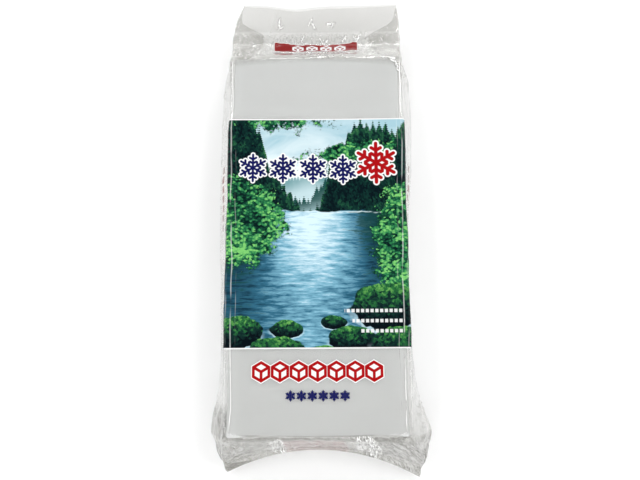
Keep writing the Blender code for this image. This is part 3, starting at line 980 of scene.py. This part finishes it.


# Single sharp creases where the film has turned white, the four near x 60, y 140 by the block's top right
# corner painting a glint: the middle, the length and the angle of each
CREASE_MARKS_AND_GLINTS = (
    (-31.5, 198.5, 8, 100), (-29.5, 194, 5, 40),
    (-6.5, 199, 6, 70), (-3.5, 196, 6, 120),
    (10.5, 197.5, 6, 10), (12, 195.5, 4, 70), (-11, 184.5, 6, 75), (4, 182.5, 6, 120),
    (7.5, 181.5, 5, 60), (21.5, 184, 6, 60), (30.5, 184, 7, 112), (33.5, 186, 7, 62),
    (39, 187.5, 5, 80), (56.5, 143, 9, -6), (60.5, 140.5, 7, -20), (53, 145.5, 8, 4),
    (62.5, 137, 7, -75), (-52, 152, 16, -5), (-34, 156, 12, -3),
)


def crumple_group():
    """How clear film crumples, over x across the front panel and y along the film, in millimetres.

    Height is in millimetres. The whitening output is 1 along the sharpest creases, where the film has turned
    white, and along painted glints and the painted highlights of the front folds. The dulling output is where
    the film has lost its clearness to many fine creases, and where shade is painted in as grey film.
    """
    outputs = {"Height": NUMBER, "Whitened": NUMBER, "Dull": NUMBER}
    group, x, y, out = new_group("film_crumple", outputs)
    place = joined(x, y)
    coarse = sharpened(noisy(place, 0.1, 2, 0.5, 0.4))
    medium = sharpened(noisy(joined(x + y * 0.25, y * 0.7), 0.24, 1, 0.5, 0.5))
    fine = sharpened(noisy(place, 0.62, 1, 0.5, 0.5))

    # Where it crumples: a little on the block, more on the gussets, most in the ears and by the welds
    gusset = abs(x).stepped(65, 68) * abs(x).stepped(114, 117, 1, 0)
    ear = gusset * abs(y).stepped(108, 132) * y.stepped(170, 186, 1, 0.2)
    pouch = abs(y).stepped(141.5, 145) * y.stepped(174, 188, 1, 0)
    from_end = y + 141.6 + (abs(x).at_most(62) / 62) ** 2 * 1.8
    pouches = from_end.below(0, 1.2).at_least(y.stepped(137, 142) * y.stepped(168, 184, 0.55, 0))
    header = y.stepped(188, 192)
    weld = abs(y - 183).stepped(2.5, 10, 1, 0)
    patch = noisy(place, 0.055, 1).stepped(0.46, 0.64)
    sides = abs(x).stepped(24, 54)
    left_first = x.stepped(-10, 10)
    left_knot, right_knot = oval(x, y, -28.5, -160, 5.8, 16), oval(x, y, 31.5, -158, 8.5, 19)
    knots = left_knot.at_most(right_knot).stepped(0.6, 1.6, 1, 0) * pouches
    foot_right = y.below(-147, 3) * x.stepped(34, 44) * x.stepped(112, 116, 1, 0)

    amount = gusset * 0.2 + 0.012
    for other in (
        ear * (patch * 0.35 + 0.22), pouch * (patch * 0.2 + 0.1), weld * 0.26,
        header * (patch * sides * 0.2 + 0.01), knots * 0.12, foot_right * 0.22,
    ):
        amount = amount.at_least(other)
    out("Height", (coarse * 0.55 + medium * 0.3 + fine * 0.13) * amount)

    # Creases sharp enough to whiten, in clusters of short squiggles, partly real whitening and partly painted
    # glints, with painted glints along diagonal streaks on the right of the foot
    squiggle = crackled(x, y * 0.36, 0.42).below(0.07, 0.045)
    squiggle = squiggle * noisy(joined(x, y * 0.4), 0.5, 1).stepped(0.26, 0.36)
    bent_x = x + noisy(place, 0.55, 1) * 2.6 - 1.3
    bent_y = y + noisy(joined(x + 60, y + 30), 0.55, 1) * 2.6 - 1.3
    marks = None
    for mark in CREASE_MARKS_AND_GLINTS:
        stroke = from_stroke(bent_x, bent_y, *mark)
        marks = marks.at_most(stroke) if marks else stroke
    streak_x, streak_y = x * 0.8 - y * 0.6, x * 0.6 + y * 0.8
    streak = sharpened(noisy(joined(streak_x * 0.1, streak_y), 0.8, 2, 0.6, 0.3))
    sharp = squiggle * knots.at_least(foot_right * patch * 0.35).at_least(weld * sides * 0.25)
    sharp = sharp.at_least(streak.stepped(0.85, 0.96) * foot_right * 0.45).at_least(marks.below(0.34, 0.2))
    sharp = sharp.at_least(medium.stepped(0.86, 0.985) * ear.at_least(pouch) * patch * 0.3)

    # Painted highlights along the front folds, where the film is bent sharpest, a fainter second line beside
    # them where the first is off, and a painted highlight along one crease in the header
    wander = noisy(joined(y * 0.022, left_first * 6 + 3), 1, 1) * 7 - 3.5
    inset = y.stepped(-140, 140, 4.4, 1.2) + wander * 0.5
    edge = abs(abs(x) - 65.5 + inset)
    bright = noisy(joined(y * 0.03, left_first * 7 + 14), 1, 2).stepped(0.34, 0.54)
    bright = bright.at_least(y.stepped(86, 100))
    bright = bright.at_least(left_first.below(0.5, 0.1) * y.below(-90, 10))
    line = edge.below(0.36, 0.3) * bright * abs(y).stepped(138, 146, 1, 0)
    second = abs(edge - 3.4).below(0.2, 0.25) * (-bright + 1) * 0.6
    line = line.at_least(second * abs(y).stepped(136, 144, 1, 0))
    crease = abs(x + 37 + wander * 0.3).below(0.3, 0.35) * abs(y - 198).below(8, 2)
    line = line.at_least(crease * bright * 0.8)
    out("Whitened", sharp.at_least(line * 0.95))

    # Film dulled by many fine creases in its welds, and painted shade laid on as grey film: over the header,
    # darker at its sides and more on the left, on the gussets, on the ears (darkest at the foot's left ear),
    # on the pouches and skirts past the block's ends, faintly darker towards the foot, between the whitened
    # squiggles and glints, beside the crease marks and the fold highlights, and along the block's foot end.
    # And the dark line of the foot's weld
    mottle = medium * 0.2 + fine * 0.26 + 0.52
    darker_to_left = left_first * -0.16 + 0.34
    dulled_and_shaded = (weld * (patch * 0.18 + 0.32)).at_least(header * sides * darker_to_left)
    lit_ear = left_first.at_least(y.stepped(-20, 20))
    dulled_and_shaded = dulled_and_shaded.at_least(ear * (lit_ear * -0.85 + 1.4))
    dulled_and_shaded = dulled_and_shaded.at_least(gusset * y.stepped(170, 186, 0.28, 0.12))
    strip = y.stepped(-166.5, -163.5, 0.95, 1.35)
    dulled_and_shaded = dulled_and_shaded.at_least(pouches * strip * (foot_right * 0.22 + 1)) * mottle
    # Painted shade between the whitened squiggles, between the glint streaks on the right of the foot, beside
    # the crease marks and beside the fold highlights
    dark = (knots * 0.85).at_least(foot_right * streak.stepped(0.3, 0.75, 1, 0) * 0.75)
    dark = dark.at_least(abs(marks - 0.95).below(0.25, 0.35) * 0.85)
    dark = dark.at_least(abs(edge - 1).below(0.2, 0.4) * bright * 0.22)
    weld_line_and_edge_shade = abs(y + 168.5).below(0.5, 0.4) * noisy(joined(x * 0.1, 7), 1).stepped(0.35, 0.6)
    # A painted shade line along the block's foot end, where the film passes over its edge
    weld_line_and_edge_shade = weld_line_and_edge_shade.at_least(abs(from_end).below(0.55, 0.4) * abs(x).stepped(63, 66, 0.85, 0))
    for other in (dark * 1.35, weld_line_and_edge_shade * 1.3, header * 0.34, y.stepped(-140, -40, 0.11, 0)):
        dulled_and_shaded = dulled_and_shaded.at_least(other)
    out("Dull", dulled_and_shaded)
    return group


def from_stroke(x, y, middle_x, middle_y, length, angle):
    """The distance from a straight stroke, its angle in degrees from the x axis."""
    c, s = math.cos(math.radians(angle)), math.sin(math.radians(angle))
    dx, dy = x - middle_x, y - middle_y
    along, aside = dx * c + dy * s, dy * c - dx * s
    past = along - along.at_least(-length / 2).at_most(length / 2)
    return (past * past + aside * aside).maths("SQRT")


def crackled(x, y, scale):
    """The distance to the nearest edge of ragged cells, in cells."""
    place = joined(x, y)
    bent_x = x + noisy(place, scale * 1.3, 2) * (1.6 / scale)
    bent_y = y + noisy(joined(x + 70, y + 50), scale * 1.3, 2) * (1.6 / scale)
    inputs = {"Vector": joined(bent_x, bent_y), "Scale": scale}
    made = add_node(x.tree, "TexVoronoi", inputs, voronoi_dimensions="2D", feature="DISTANCE_TO_EDGE")
    return Field(x.tree, made.outputs["Distance"])


def sharpened(noise_field):
    """Noise about 0.5 as sharp ridges, 1 along each and 0 between them."""
    return (abs(noise_field - 0.5) * 5).stepped(0, 1, 1, 0)


def film_material(foot, mouth):
    """Clear film, dulled in its welds and crumpled at its ends, with inks printed on it, and with painted
    shade, painted glints and painted highlights laid into its colour.

    foot and mouth are where the film's ends lie along it, in millimetres from the middle of the block.
    """
    material, tree, shader = new_material("printed_clear_film")
    u, v, _ = separated(coordinates(tree, "UV"))
    left_edge = -(HALF_PANEL + 2 * HALF_GUSSET)  # where the left gusset joins the back panel
    x = (u * ROUND_FILM - FRONT_MIDDLE).maths("WRAP", ROUND_FILM + left_edge, left_edge)
    y = v * (mouth - foot) + foot
    inks = placed(tree, print_group(), x, y)
    crumple = placed(tree, crumple_group(), x, y)
    normal = bumped(crumple["Height"], MM, 0.9)

    solid, whitened_and_glints, dulled_and_shaded = inks["Solid"], crumple["Whitened"], crumple["Dull"]
    # Painted shade as grey film, deeper where more is painted, then the white of whitened creases and of
    # painted glints and highlights
    shade = painted(FILM_SHADE, FILM_DEEP_SHADE, dulled_and_shaded.stepped(0.75, 1.35))
    bare = painted(shade, FILM_WHITENED_AND_GLINT, whitened_and_glints)
    inked = painted(inks["Color"], FILM_WHITENED_AND_GLINT, whitened_and_glints * 0.45)
    fill(tree, shader, {
        "Base Color": painted(bare, inked, solid),
        "Alpha": (whitened_and_glints * 0.9 + dulled_and_shaded * 0.46 + FILM_HAZE).at_least(solid),
        "Roughness": DULL_FILM_ROUGHNESS,
        "Specular IOR Level": 0,
        "Normal": normal,
    })
    mirror = add_node(tree, "BsdfPrincipled", {
        "Metallic": 1,
        "Roughness": FILM_ROUGHNESS,
        "Base Color": painted((1, 1, 1), MIRROR_OVER_INK, solid),
        "Normal": normal,
    })
    fresnel = add_node(tree, "Fresnel", {"IOR": FILM_IOR, "Normal": normal})
    mirrored = (Field(tree, fresnel.outputs[0]) * FILM_FACES).at_most(1)
    entry = mixed(tree, mirrored, shader, mirror)

    # Only the side that light enters by has a finish. The film's other side tints what comes out
    clear = add_node(tree, "BsdfTransparent", {"Color": FILM_TINT})
    backfacing = Field(tree, add_node(tree, "NewGeometry").outputs["Backfacing"])
    whole = mixed(tree, backfacing, entry, clear)
    tree.links.new(whole.outputs[0], tree.nodes["Material Output"].inputs["Surface"])
    return material


# ------------------------------
# The studio

def make_floor():
    """A plain pale table top just under the pack."""
    shape = bmesh.new()
    bmesh.ops.create_grid(shape, x_segments=1, y_segments=1, size=6.0)
    bmesh.ops.translate(shape, vec=(0.0, 0.0, -0.05 * MM), verts=shape.verts)
    material, tree, shader = new_material("table_top")
    fill(tree, shader, {"Base Color": (0.955, 0.955, 0.955, 1.0), "Roughness": 0.8})
    dressed_object("table_top", shape, material)


# Each softbox: its name, where it stands, its size and its power
SOFTBOXES = (
    ("front_box", (0.0, -1.35, 1.3), (1.4, 0.8), 11.5),
    ("left_box", (-1.5, -0.2, 1.2), (0.8, 1.3), 9.6),
    ("right_box", (1.5, -0.2, 1.2), (0.8, 1.3), 9.6),
    ("back_strip", (0.3, 1.45, 0.62), (0.9, 0.2), 5.0),
    ("left_spot", (-0.7, 0.75, 1.45), (0.22, 0.22), 3.0),
    ("right_spot", (0.62, 0.8, 1.45), (0.22, 0.22), 3.0),
)


def light_studio():
    """A white world, dimmer overhead, and softboxes that face the pack."""
    world = bpy.data.worlds.new("studio")
    world.use_nodes = True
    tree = world.node_tree
    _, _, rise = separated(coordinates(tree, "Generated"))
    strength = rise.stepped(0.5, 0.86, 0.95, 0.2)
    fill(tree, tree.nodes["Background"], {"Color": (1.0, 1.0, 1.0, 1.0), "Strength": strength})
    bpy.context.scene.world = world
    for name, place, size, power in SOFTBOXES:
        lamp = bpy.data.lights.new(name, "AREA")
        lamp.shape = "RECTANGLE"
        lamp.size, lamp.size_y = size
        lamp.energy = power
        box = scene_object(name, lamp)
        box.location = place
        box.rotation_euler = (-Vector(place)).to_track_quat("-Z", "Y").to_euler()


def make_camera():
    """The camera, with its picture taken as 640 pixels wide."""
    lens = bpy.data.cameras.new("camera")
    lens.sensor_fit = "HORIZONTAL"
    lens.sensor_width = 36.0
    lens.lens = FOCAL_PIXELS * lens.sensor_width / 640.0
    lens.clip_start = 0.01
    camera = scene_object("camera", lens)
    camera.rotation_mode = "QUATERNION"
    camera.location = CAMERA_PLACE
    backward, up = -Vector(CAMERA_FORWARD), Vector(CAMERA_UP)
    right = up.cross(backward)
    upright = Matrix((right, up, backward)).transposed().to_quaternion()
    camera.rotation_quaternion = upright @ Matrix.Rotation(math.radians(CAMERA_ROLL), 3, "Z").to_quaternion()
    bpy.context.scene.camera = camera


make_camera()
make_ice(ice_material())
make_film()
make_floor()
light_studio()
bpy.context.scene.view_settings.view_transform = "Standard"
bpy.context.scene.cycles.transparent_max_bounces = 64
